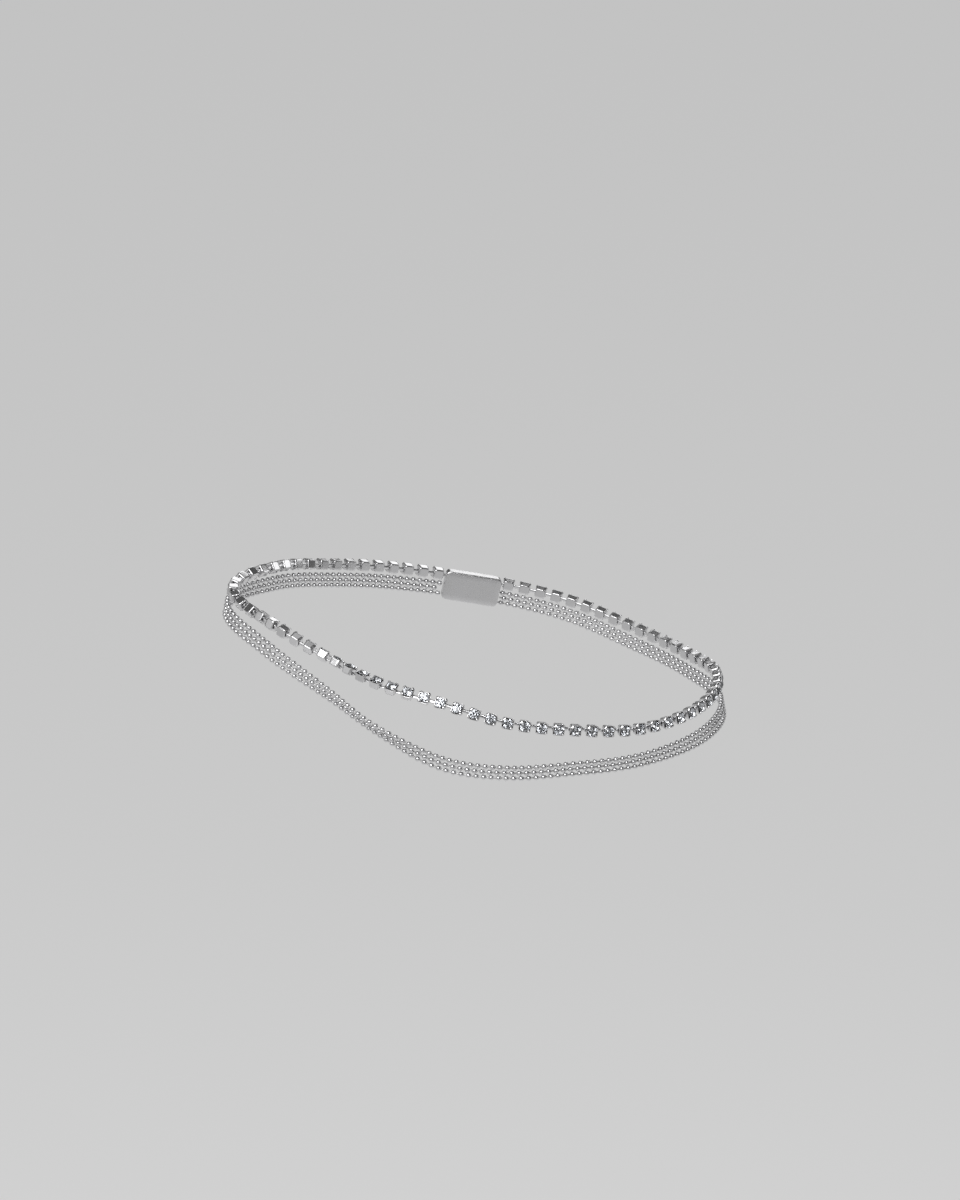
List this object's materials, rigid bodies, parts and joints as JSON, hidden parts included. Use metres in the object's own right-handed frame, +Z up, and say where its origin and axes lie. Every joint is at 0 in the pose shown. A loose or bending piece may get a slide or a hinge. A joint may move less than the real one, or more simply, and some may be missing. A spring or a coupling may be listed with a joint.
{
  "type": "rhinestone anklet",
  "caption": "Anklet loop in its worn form: a chain of square cups with round clear stones above a band of ball chains, all joined at a plain clasp.",
  "frame": {"origin": "inside the loop, on the leg's own line, about half-way up the cup chain's slope", "axes": "+Z up along the leg, +X to the front of the ankle, -Y to the side that shows in the picture"},
  "size_m": [0.0896, 0.0666, 0.0247],
  "materials": {
    "cup_metal": "bright plated silver, stamped sheet with polished edges",
    "ball_metal": "bright plated silver, polished round balls",
    "clear_crystal": "clear faceted glass with a bright foil behind it"
  },
  "bodies": {
    "root": {"stone_cups": "cup_metal", "cup_links": "cup_metal", "rhinestones": "clear_crystal", "ball_chain_upper": "ball_metal", "ball_chain_middle": "ball_metal", "ball_chain_lower": "ball_metal", "clasp": "cup_metal"}
  },
  "joints": []
}
